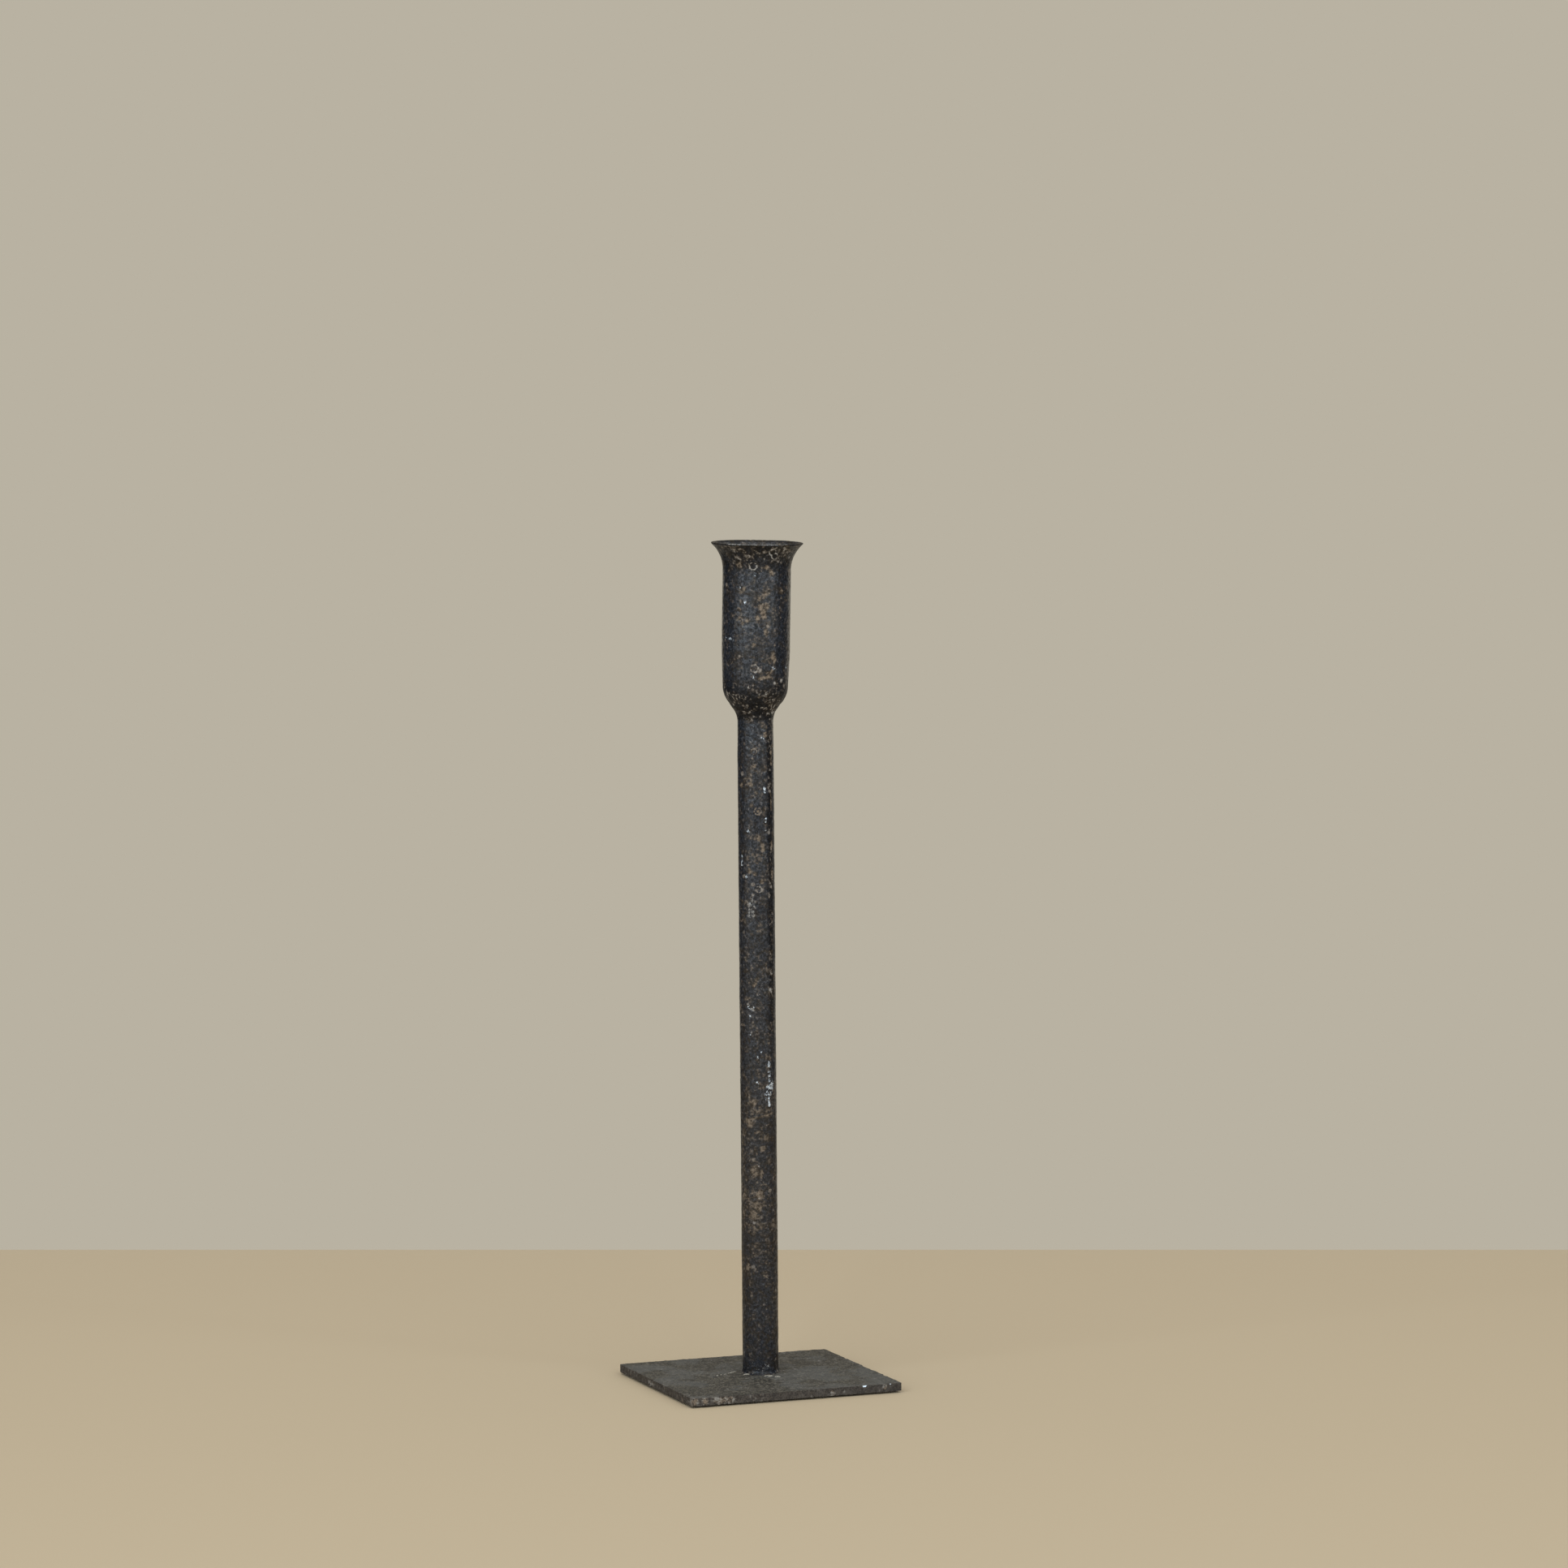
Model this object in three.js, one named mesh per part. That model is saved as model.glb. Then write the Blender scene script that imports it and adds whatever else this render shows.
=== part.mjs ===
// Taper candle holder of blackened iron, in millimetres, +Z up.
// A sheared base plate on four thin pads carries a round bar stem, and a pipe socket with a flared lip
// stands on the stem. The bar has a turned spigot at each end: the lower one drops into the plate, the
// upper one goes through the neck weld and the socket's floor. Two welds hold the parts together.
// The origin is the middle of the plate's outline, on the surface that the pads stand on.
import * as THREE from 'three';

// Base plate
const plateLength = 87;
const plateWidth = 78;
const plateThickness = 3;
const plateCornerRadius = 0.9;
const plateEdgeChamfer = 0.3;

// Pads under the plate's corners
const padDiameter = 10;
const padThickness = 0.8;
const padEdgeDistance = 9;

// Stem: a round bar, with a slimmer ground end below the neck weld
const stemDiameter = 14;
const stemLength = 250;
const stemOffsetX = 1.8;
const stemOffsetY = 3.4;
const neckDiameter = 13.7;
const neckTaperLength = 9;
const spigotDiameter = 8;
const spigotRecess = 0.3;

// The hand welded parts lean a little, towards and away from this heading in plan
const leanHeading = 158;
const stemLean = 0.45;
const socketLean = 0.7;

// Welds
const neckWeldHeight = 9;
const footWeldLeg = 1.7;
const footWeldHeight = 2.2;
const footWeldLand = 0.4;

// Socket: a pipe, swaged in at the bottom and flared at the top
const candleDiameter = 22;
const candleClearance = 0.15;
const socketWall = 2;
const socketHeight = 63;
const socketBaseDiameter = 18;
const socketFloor = 3;
const floorCornerRadius = 5;
const shoulderRadius = 10;
const shoulderTaper = 0.55;
const shoulderTaperHeight = 14;
const flareOverhang = 4.6;
const flareRadius = 13;
const flareInnerRadius = 15;
const lipLand = 1.2;
const lipRound = 0.35;

// Gap between pieces that sit on or in each other
const seatGap = 0.3;

// Faces round a turned piece and steps along an arc
const roundSegments = 48;
const padSegments = 24;
const arcSteps = 8;

const plateUnderside = padThickness;
const plateTop = plateUnderside + plateThickness;
const stemRadius = stemDiameter / 2;
const neckRadius = neckDiameter / 2;
const spigotRadius = spigotDiameter / 2;
const spigotHoleRadius = spigotRadius + seatGap;
const socketBaseRadius = socketBaseDiameter / 2;
const kinkAngle = THREE.MathUtils.degToRad(stemLean + socketLean);
const socketSeatGap = seatGap + socketBaseRadius * Math.sin(kinkAngle);
const neckWeldBottom = seatGap + stemLength + seatGap;
const socketBottom = neckWeldBottom + neckWeldHeight + socketSeatGap;

function ironMaterial(color, roughness) {
  return new THREE.MeshStandardMaterial({ color, roughness, metalness: 0.8 });
}

const barIron = ironMaterial(0x2f2e30, 0.45);
const plateIron = ironMaterial(0x3b3a37, 0.7);
const weldIron = ironMaterial(0x2a2725, 0.6);
const padRubber = new THREE.MeshStandardMaterial({ color: 0x1c1b1a, roughness: 0.9, metalness: 0 });

// Points of an arc in a profile: x is the radius from the axis and y the height
function arc(centreX, centreY, radius, startAngle, endAngle) {
  const points = [];
  for (let step = 0; step <= arcSteps; step += 1) {
    const angle = startAngle + ((endAngle - startAngle) * step) / arcSteps;
    const x = centreX + radius * Math.cos(angle);
    const y = centreY + radius * Math.sin(angle);
    points.push(new THREE.Vector2(x, y));
  }
  return points;
}

function point(x, y) {
  return new THREE.Vector2(x, y);
}

// A solid of revolution about +Z from a profile that runs anticlockwise, up the outside
function turned(profile) {
  return new THREE.LatheGeometry(profile, roundSegments).rotateX(Math.PI / 2);
}

function mesh(name, geometry, material) {
  const made = new THREE.Mesh(geometry, material);
  made.name = name;
  return made;
}

function basePlate() {
  const halfLength = plateLength / 2 - plateEdgeChamfer;
  const halfWidth = plateWidth / 2 - plateEdgeChamfer;
  const radius = plateCornerRadius;
  const outline = new THREE.Shape();
  outline.moveTo(radius - halfLength, -halfWidth);
  outline.absarc(halfLength - radius, radius - halfWidth, radius, -Math.PI / 2, 0);
  outline.absarc(halfLength - radius, halfWidth - radius, radius, 0, Math.PI / 2);
  outline.absarc(radius - halfLength, halfWidth - radius, radius, Math.PI / 2, Math.PI);
  outline.absarc(radius - halfLength, radius - halfWidth, radius, Math.PI, Math.PI * 1.5);
  const hole = new THREE.Path();
  hole.absarc(stemOffsetX, stemOffsetY, spigotHoleRadius + plateEdgeChamfer, 0, Math.PI * 2, true);
  outline.holes.push(hole);
  const geometry = new THREE.ExtrudeGeometry(outline, {
    depth: plateThickness - 2 * plateEdgeChamfer,
    bevelThickness: plateEdgeChamfer,
    bevelSize: plateEdgeChamfer,
    bevelSegments: 1,
    curveSegments: arcSteps,
  });
  const plate = mesh('base_plate', geometry, plateIron);
  plate.position.z = plateUnderside + plateEdgeChamfer;
  return plate;
}

function pads() {
  const x = plateLength / 2 - padEdgeDistance;
  const y = plateWidth / 2 - padEdgeDistance;
  const places = { front_left: [-x, -y], front_right: [x, -y], back_left: [-x, y], back_right: [x, y] };
  return Object.entries(places).map(([corner, [padX, padY]]) => {
    const radius = padDiameter / 2;
    const geometry = new THREE.CylinderGeometry(radius, radius, padThickness, padSegments);
    const pad = mesh(`pad_${corner}`, geometry.rotateX(Math.PI / 2), padRubber);
    pad.position.set(padX, padY, padThickness / 2);
    return pad;
  });
}

function stemBar() {
  const foot = seatGap;
  const shoulder = foot + stemLength;
  const lowerEnd = spigotRecess - plateThickness;
  const upperEnd = socketBottom + socketFloor - spigotRecess;
  const profile = [
    point(0, lowerEnd),
    point(spigotRadius, lowerEnd),
    point(spigotRadius, foot),
    point(stemRadius, foot),
    point(stemRadius, shoulder - neckTaperLength),
    point(neckRadius, shoulder),
    point(spigotRadius, shoulder),
    point(spigotRadius, upperEnd),
    point(0, upperEnd),
  ];
  return mesh('stem_bar', turned(profile), barIron);
}

// The weld metal between the bar's shoulder and the socket, ground to a hollow flank
function neckWeld() {
  const spread = socketBaseRadius - neckRadius;
  const flankRadius = (spread ** 2 + neckWeldHeight ** 2) / (2 * spread);
  const flankEnd = Math.PI - Math.asin(neckWeldHeight / flankRadius);
  const profile = [
    point(spigotHoleRadius, 0),
    ...arc(neckRadius + flankRadius, 0, flankRadius, Math.PI, flankEnd),
    point(spigotHoleRadius, neckWeldHeight),
    point(spigotHoleRadius, 0),
  ];
  const weld = mesh('neck_weld', turned(profile), weldIron);
  weld.position.z = neckWeldBottom;
  return weld;
}

// The small fillet weld round the foot of the bar
function footWeld() {
  const inner = stemRadius + seatGap;
  const outer = inner + footWeldLand + footWeldLeg;
  const flank = [];
  for (let step = 0; step <= arcSteps; step += 1) {
    const angle = (Math.PI / 2) * (step / arcSteps);
    const x = outer - footWeldLeg * Math.sin(angle);
    const y = footWeldHeight * (1 - Math.cos(angle));
    flank.push(point(x, y));
  }
  const profile = [point(inner, 0), ...flank, point(inner, footWeldHeight), point(inner, 0)];
  const weld = mesh('foot_weld', turned(profile), weldIron);
  weld.position.set(stemOffsetX, stemOffsetY, plateTop);
  return weld;
}

function socketCup() {
  const bore = candleDiameter / 2 + candleClearance;
  const outer = bore + socketWall;
  const shoulder = outer - shoulderTaper;
  const shoulderCentre = shoulder - shoulderRadius;
  const baseAngle = -Math.acos((socketBaseRadius - shoulderCentre) / shoulderRadius);
  const shoulderTop = -shoulderRadius * Math.sin(baseAngle);
  const lip = outer + flareOverhang;
  const flareAngle = Math.acos(1 - flareOverhang / flareRadius);
  const flareBottom = socketHeight - lipRound - flareRadius * Math.sin(flareAngle);
  const lipInner = lip - lipRound - lipLand;
  const innerAngle = Math.acos(1 - (lipInner - bore) / flareInnerRadius);
  const innerFlareBottom = socketHeight - flareInnerRadius * Math.sin(innerAngle);
  const profile = [
    point(spigotHoleRadius, 0),
    ...arc(shoulderCentre, shoulderTop, shoulderRadius, baseAngle, 0),
    point(outer, shoulderTop + shoulderTaperHeight),
    ...arc(outer + flareRadius, flareBottom, flareRadius, Math.PI, Math.PI - flareAngle),
    point(lip - lipRound, socketHeight),
    ...arc(bore + flareInnerRadius, innerFlareBottom, flareInnerRadius, Math.PI - innerAngle, Math.PI),
    ...arc(bore - floorCornerRadius, socketFloor + floorCornerRadius, floorCornerRadius, 0, -Math.PI / 2),
    point(spigotHoleRadius, socketFloor),
    point(spigotHoleRadius, 0),
  ];
  return mesh('socket_cup', turned(profile), barIron);
}

// Stem, neck weld and socket lean with the bar, and the socket leans back at the neck
function uprights() {
  const heading = THREE.MathUtils.degToRad(leanHeading);
  const leanAxis = new THREE.Vector3(-Math.sin(heading), Math.cos(heading), 0);
  const stem = new THREE.Group();
  stem.position.set(stemOffsetX, stemOffsetY, plateTop);
  stem.setRotationFromAxisAngle(leanAxis, THREE.MathUtils.degToRad(stemLean));
  stem.add(stemBar(), neckWeld());
  const socket = new THREE.Group();
  socket.position.z = socketBottom;
  socket.setRotationFromAxisAngle(leanAxis, -kinkAngle);
  socket.add(socketCup());
  stem.add(socket);
  return stem;
}

const candleHolder = new THREE.Group();
candleHolder.add(basePlate(), ...pads(), footWeld(), uprights());

export default candleHolder;
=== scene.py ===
# Taper candle holder of blackened iron: the finished pieces, built around the packed solids.
# Metres, +Z up, with the origin in the middle of the plate's outline on the surface it stands on.
import math
from collections import namedtuple

import bmesh
import bpy
import numpy as np
from mathutils import Matrix, Vector


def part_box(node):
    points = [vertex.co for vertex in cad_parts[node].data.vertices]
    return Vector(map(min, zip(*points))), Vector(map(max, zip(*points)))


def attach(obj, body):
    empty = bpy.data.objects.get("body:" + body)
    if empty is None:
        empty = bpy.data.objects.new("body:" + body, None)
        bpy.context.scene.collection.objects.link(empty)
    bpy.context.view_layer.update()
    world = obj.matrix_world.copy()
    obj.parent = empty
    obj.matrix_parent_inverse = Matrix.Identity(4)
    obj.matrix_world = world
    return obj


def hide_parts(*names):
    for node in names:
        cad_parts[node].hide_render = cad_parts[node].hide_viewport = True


bl_info = {
    "name": "Blackened iron taper candle holder",
    "version": (1, 0, 0),
    "blender": (4, 5, 0),
    "location": "3D View > Sidebar > Candle holder",
    "description": "Models a hand welded candle holder piece by piece, with its stage",
    "category": "Object",
}

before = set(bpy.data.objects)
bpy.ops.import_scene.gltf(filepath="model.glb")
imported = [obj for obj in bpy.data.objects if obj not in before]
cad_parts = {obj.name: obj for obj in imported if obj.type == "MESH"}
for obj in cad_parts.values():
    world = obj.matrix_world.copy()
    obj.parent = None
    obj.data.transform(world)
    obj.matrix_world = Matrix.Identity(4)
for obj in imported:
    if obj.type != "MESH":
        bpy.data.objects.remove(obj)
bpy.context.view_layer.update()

MM = 0.001
UP = Vector((0, 0, 1))

# A mark fades out this many half widths from its middle, and this deep under a turned piece's side
MARK_REACH = 1.5
MARK_DEPTH = 1.5 * MM

# Keeps the division finite where a mark doesn't run on
TINY = 1e-6

# How far apart forged iron's deepest pits and highest lumps are
RELIEF_SPAN = 0.3 * MM

# Heading of the side of the holder that faces the camera, and of its right hand side
FRONT_AZIMUTH = math.radians(-22.1)
FRONT = Vector((math.sin(FRONT_AZIMUTH), -math.cos(FRONT_AZIMUTH), 0))
RIGHT = Vector((math.cos(FRONT_AZIMUTH), math.sin(FRONT_AZIMUTH), 0))


# Properties

def length(name, description, millimetres):
    """A length property, stated in millimetres and kept in metres."""
    return bpy.props.FloatProperty(
        name=name, description=description, default=millimetres * MM, min=0,
        subtype="DISTANCE", unit="LENGTH", precision=5)


def amount(name, description, default):
    """A plain number property."""
    return bpy.props.FloatProperty(name=name, description=description, default=default, min=0)


def colour(name, description, default):
    """A colour property, in linear values."""
    return bpy.props.FloatVectorProperty(
        name=name, description=description, default=default, size=3, min=0, max=1, subtype="COLOR")


class HolderBar(bpy.types.PropertyGroup):
    """Sizes of the round bar."""
    diameter: length("Diameter", "Diameter of the round bar", 14)
    neck_diameter: length("Neck diameter", "Diameter of the ground upper end", 13.7)
    neck_taper: length("Neck taper", "Length of the ground upper end", 9)
    spigot_diameter: length("Spigot diameter", "Diameter of the turned ends", 8)
    spigot_reach: length("Lower spigot", "Reach of the lower spigot", 2.7)


class HolderSocket(bpy.types.PropertyGroup):
    """Sizes of the pipe socket."""
    bore: length("Bore", "Inside diameter, for a 22 mm taper candle", 22.3)
    wall: length("Wall", "Thickness of the pipe's wall", 2)
    base_diameter: length("Base diameter", "Diameter of the swaged bottom", 18)
    floor: length("Floor", "Thickness of the socket's floor", 3)
    floor_corner: length("Floor corner", "Inside radius between floor and wall", 5)
    floor_hole: length("Floor hole", "Hole for the upper spigot", 8.6)
    shoulder_radius: length("Shoulder", "Outside radius of the swaged shoulder", 10)
    shoulder_taper: length("Shoulder taper", "Narrowing above the shoulder", 0.55)
    taper_height: length("Taper height", "Height of the narrowing", 14)
    flare_overhang: length("Flare overhang", "Reach of the lip past the wall", 4.6)
    flare_radius: length("Flare radius", "Outside radius of the flare", 13)
    flare_inner_radius: length("Flare inner radius", "Inside radius of the flare", 15)
    lip_land: length("Lip land", "Width of the lip's flat top", 0.95)
    lip_round: length("Lip round", "Radius of the lip's outer edge", 0.35)
    lip_shade: length("Lip shade", "Height of the dark band inside the lip", 0.7)


class HolderWelds(bpy.types.PropertyGroup):
    """Sizes of the two welds."""
    neck_height: length("Neck weld height", "Height under the socket", 9)
    neck_flank: length("Neck weld flank", "Radius of the weld's hollow flank", 8.5)
    foot_reach: length("Foot weld reach", "Spread of the foot weld round the bar", 1.7)
    foot_height: length("Foot weld height", "Height of the foot weld", 1.6)
    overlap: length("Fusion overlap", "Depth of the welds in their neighbours", 0.6)
    climb: length("Neck weld climb", "Climb of the neck weld up the shoulder", 1)
    tuck: length("Neck weld tuck", "Depth of its top in the shoulder", 0.1)


class HolderPlate(bpy.types.PropertyGroup):
    """Sizes of the base plate and its pads."""
    cell: length("Grid", "Size of the surface's grid", 0.6)
    corner_cut: length("Corner cut", "Width of the cut at each corner", 0.8)
    edge_round: length("Edge round", "Radius of the rolled sheared edge", 0.4)
    edge_band: length("Edge band", "Width of the rough band along the edges", 1.2)
    hole: length("Hole", "Hole for the lower spigot", 8.6)
    pad_round: length("Pad edge", "Radius of the pads' edge", 0.25)


class HolderColours(bpy.types.PropertyGroup):
    """Colours of the finishes, in linear values."""
    iron: colour("Waxed iron", "Blue black of the bar and socket", (0.017, 0.021, 0.030))
    # Grey of the raised grain, also painted on small dots as sparkles
    sand_and_sparkle: colour("Sandy grain", "Grey of the raised grain", (0.093, 0.100, 0.118))
    scale: colour("Brown scale", "Brown of the iron in the hollows", (0.027, 0.020, 0.014))
    crumb: colour("Crumbs", "Small brown specks all over the iron", (0.150, 0.108, 0.076))
    fleck: colour("Flecks", "Tan rust patches and spots", (0.204, 0.151, 0.104))
    # Grey of the paler flecks and spatter, and of the painted highlight on the socket's lip
    ash_and_highlight: colour("Ash", "Grey of the paler flecks", (0.380, 0.355, 0.322))
    # Bright bluish white of chipped metal, also painted as glints: on the bar and socket half of it is
    # diffuse colour
    bare: colour("Bare metal", "Metal where the wax has chipped", (0.60, 0.66, 0.72))
    plate: colour("Plate", "Grey brown mill scale of the plate", (0.088, 0.074, 0.052))
    sheared: colour("Sheared edge", "Brown of the sheared edges", (0.056, 0.044, 0.035))
    rubber: colour("Rubber", "Black rubber of the pads", (0.012, 0.012, 0.012))
    spatter: colour("Spatter", "Pale spatter round the foot weld", (0.38, 0.34, 0.27))
    pit: colour("Dark grain", "Near black between the iron's grains", (0.006, 0.0068, 0.0082))
    # Near black of the heat scale, also used as painted shade on the socket's shoulder, flare and lip
    scorched_and_shade: colour("Scorched scale", "Near black of the scaly bands", (0.004, 0.0034, 0.0026))
    plate_pit: colour("Plate dark grain", "Near black between the plate's grains", (0.016, 0.015, 0.013))
    plate_grain: colour("Plate grain", "Sandy tone of the plate's grains", (0.195, 0.176, 0.142))
    plate_brown: colour("Plate brown", "Brown patches on the plate", (0.060, 0.052, 0.040))
    plate_haze: colour("Plate haze", "Grey haze on the plate", (0.125, 0.125, 0.120))
    plate_fleck: colour("Plate flecks", "Paler tone of the plate's rust", (0.27, 0.25, 0.22))
    # Brown black of the sheared edges' pits, and of the painted shade on the plate's left side and its
    # darker front
    soot: colour("Soot", "Brown black of soot and edge pits", (0.012, 0.009, 0.007))
    dust: colour("Dust", "Grey dust on the pads", (0.05, 0.048, 0.045))
    floor: colour("Floor", "Pale floor", (0.510, 0.398, 0.254))
    backdrop: colour("Backdrop", "Pale backdrop", (0.485, 0.445, 0.362))
    card: colour("Cards", "Black of the cards beside the holder", (0.01, 0.01, 0.01))
    daylight: colour("Daylight", "Cool light of the windows", (0.75, 0.88, 1.0))
    lamplight: colour("Lamplight", "Warm light from the ceiling", (1.0, 0.97, 0.93))


class HolderStage(bpy.types.PropertyGroup):
    """Camera, lights and floor."""
    camera_distance: length("Camera distance", "Level distance from the holder to the camera", 2398.8)
    camera_height: length("Camera height", "Height of the camera above the floor", 453.85)
    camera_offset: length("Camera offset", "How far the camera stands to the right", 9.46)
    camera_pitch: bpy.props.FloatProperty(
        name="Camera pitch", description="How far the camera looks down",
        default=math.radians(5.24), subtype="ANGLE", unit="ROTATION")
    lens: amount("Lens", "Focal length in millimetres on a 36 mm sensor", 143.54)
    floor_depth: length("Floor depth", "How far the floor reaches behind the holder", 313)
    floor_size: length("Floor size", "How far the floor reaches to the other sides", 3000)
    left_power: amount("Left window", "Large light to the left, in watts", 70)
    right_power: amount("Right window", "Large light to the right, in watts", 48)
    side_power: amount("Narrow light", "Narrow light to the right, in watts", 2.4)
    top_power: amount("Ceiling light", "Light overhead, in watts", 25)
    world_light: amount("Sky light", "Even light from all round", 0.5)


# Marks of wear on the turned pieces, by the attribute that they are stored as. A stroke starts at a turn
# in degrees to the right of the side that faces the camera and at a height in millimetres above the
# floor, and is so many millimetres wide. Two more numbers carry it on by a turn and a height.
Stroke = namedtuple("Stroke", "turn height width run_turn run_height", defaults=(0, 0))

BAR_MARKS = {
    "rust": (
        (1, 258, 0.9, 0, -2), (29, 255.4, 1.6, 4, -2.6), (-5, 241, 1.6), (-16, 233.8, 1.5),
        (-52, 233.3, 1.8), (2, 230.7, 1.3), (-14, 225.7, 1.8), (20, 210.6, 1.4, 3, -2.2),
        (-21, 200.5, 1.7), (-5, 199.3, 1.6), (18, 196.4, 2.0), (-17, 176, 1.5), (50, 168.8, 2.2),
        (-10, 156, 1.3, 11, 3), (-17, 110.6, 3.6), (-41, 103.4, 0.9, 93, 2.7), (-23, 102.3, 3.6),
        (-12, 98.6, 0.8, 17, 0.5), (13, 92.5, 2.6), (27, 96.6, 2.4), (-11, 83.4, 5.4), (2, 74.2, 3.6),
        (-9, 70, 4.4), (-20, 66.2, 4), (-39, 45.9, 2.8), (8, 212.8, 1.6), (58, 246, 1.2, 0, -4.5),
        (54, 230, 1.1, 2, -6), (58, 211.5, 1.3, -2, -3), (58, 200.5, 1.3, 0, -3.5), (6, 223.6, 1.2)),
    "rings": ((6, 223.6, 2.8), (7, 193.3, 2.4), (-5, 246.7, 2.2)),
    # Chipped metal, partly painted as glints
    "bare": (
        (23, 251.6, 1.2), (29, 233.4, 1.2, 0, -2.5), (31, 220.8, 0.9, 0, -1.6), (30, 216.5, 1.2),
        (-25, 215.7, 1.5), (-11, 190.2, 1.3), (-18, 187.6, 1.5), (-33, 198.2, 1.2),
        (-53, 206.2, 0.9, 0, -3.8), (56, 182.9, 1.2), (-44, 148.6, 0.9), (-31, 147.6, 0.9, 6, -1),
        (-12, 147.2, 0.9), (-25, 144.1, 0.8), (11, 130.2, 1.0), (1, 128, 0.9), (-26, 136.8, 0.9),
        (38, 125.6, 1.5, -1, -4), (38, 120.6, 1.9, 9, -3.4), (47, 117.4, 2.4, -2, -2),
        (36, 115.6, 2.6, -5, -3.6), (35, 111, 1, 2, -2), (-3, 117.9, 1)),
    "spatter": (
        (-27, 8.2, 1.4), (19, 8, 2.0, 4, -1), (10, 6.1, 1.8), (-44, 6.2, 1.2), (66, 5.4, 1.4),
        (-8, 6.3, 1.0), (-17, 188, 3, 0, -5), (-35, 148.6, 1.6, 20, -2)),
    # A dark band painted down the bar's right side
    "scaly": ((50, 252, 2.6, 0, -110),),
}
SOCKET_MARKS = {
    "rust": (
        (-30, 318.5, 3), (17, 317.9, 1.7), (26, 316, 1.7), (6, 305.8, 1.8, 10, 1.8),
        (9, 302.6, 2.6, 8, 0.4), (13, 301, 2.4, 0, -2), (17, 293.9, 1.5, 1, -1.6), (-3, 288.1, 1.5),
        (30, 285, 2, 3, -2.4), (-27, 308.4, 1.6, 6, 1.6), (47, 308.4, 2.2), (3, 275, 1.1, 20, 0.8),
        (23, 276, 1.1, 7, 2.2), (8, 267.8, 1.6), (20, 267.1, 1.9), (-14, 297.5, 1.4), (2, 298.5, 1.8)),
    "rings": ((23, 323.8, 2.2), (28, 322.2, 2.2), (-6, 318.4, 2.8), (-2, 279.1, 3)),
    # Chipped metal, partly painted as glints
    "bare": (
        (-30, 310.1, 1.3), (-2, 315.2, 1.5), (-19, 304.5, 1.1), (33, 279.2, 1.5), (64, 278.8, 1.3),
        (-5, 276.6, 0.9, 2, -2.2), (-60, 290.8, 0.9, 18, -0.8)),
    # On the socket these strokes mark a pale band painted along the front lip's top as a highlight
    "spatter": ((-38, 326.7, 2, 64, 0), (37, 326.7, 1.6)),
}

# Levels of rust, scale, dullness and painted shade that change with height alone, as (height in
# millimetres above the floor, level) pairs
BAR_MOTTLING = ((30, 0), (50, 0.16), (70, 0.24), (100, 0.22), (125, 0.10), (150, 0.12), (200, 0))
BAR_SCALE = ((3, 0.5), (9, 0.2), (60, 0.2), (80, 0.1))
# Dullness rises towards the bar's bottom: less wax, browner and fewer marks
BAR_DULLNESS = ((40, 0.5), (75, 0.3), (110, 0.28), (125, 0.15), (245, 0.12), (252, 0))
NECK_SCALE = ((254, 0.1), (258.3, 0.1), (259.1, 1))
# Painted shade: the socket's swaged shoulder, which faces down, and its flare are painted near black
# along with their scale
SOCKET_SCALE_AND_SHADE = ((264, 1), (270, 0.8), (278, 0.1), (314, 0.05), (319, 0.65), (327, 0.8))

# Marks and notches on the plate. A chip starts at a place in millimetres in the part's own frame and is
# so many millimetres wide. Two more numbers carry it on in X and Y.
Chip = namedtuple("Chip", "x y z width run_x run_y", defaults=(0, 0))

PLATE_MARKS = {
    "rust": (
        (-42.6, -39, 2.6, 3.2), (-38.3, -39, 2.6, 2.6), (-33, -39, 2.4, 2.8, 6, 0), (14.2, -39, 1.9, 2.6),
        (19.3, -39, 2.4, 1.4), (36.2, -39, 2.7, 2.2), (-26, -39, 2.3, 2), (-43.5, 6.5, 2.2, 2, 0, -4),
        (-43.5, -24, 2.0, 1.8), (-23.9, -26.1, 3.8, 1.2)),
    "bare": ((27.3, -38.8, 3.8, 1.1, 1.0, 0), (38.6, -38.9, 3.8, 0.7)),
    "spatter": (
        (-6.3, -1.0, 4, 1.8, 0.7, 0.4), (-5.6, -0.5, 4.8, 1.4), (0, -6.7, 3.9, 1.8, 1.8, -0.9),
        (3, -9.6, 3.8, 1.5, 1, -0.5), (-18.7, 0.7, 3.8, 0.4, 5.8, 1.9), (-12.9, 2.6, 3.8, 0.5, 2.8, 2),
        (-10.1, 4.6, 3.8, 0.9, 2.2, 1.4), (-23.9, -26.1, 3.8, 0.9)),
}
LEFT_NOTCHES = (
    (-43.5, 22, 3.8, 2.4), (-43.5, 4, 3.8, 3.2), (-43.5, -7, 3.8, 2.2), (-43.5, -15, 3.8, 3),
    (-43.5, -27, 3.8, 2))
RIGHT_NOTCHES = ((43.5, -1.5, 3.8, 2.6, 0, -7), (43.5, -22, 3.8, 2.2), (43.5, 17, 3.8, 1.8))
FRONT_NOTCHES = ((9, -39, 3.8, 2.4), (-20, -39, 3.8, 2), (27.6, -39, 3.8, 1.4, 1.0, 0))

GROUPS = {
    "holder_bar": HolderBar,
    "holder_socket": HolderSocket,
    "holder_welds": HolderWelds,
    "holder_plate": HolderPlate,
    "holder_colours": HolderColours,
    "holder_stage": HolderStage,
}


# Shader expressions

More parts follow.
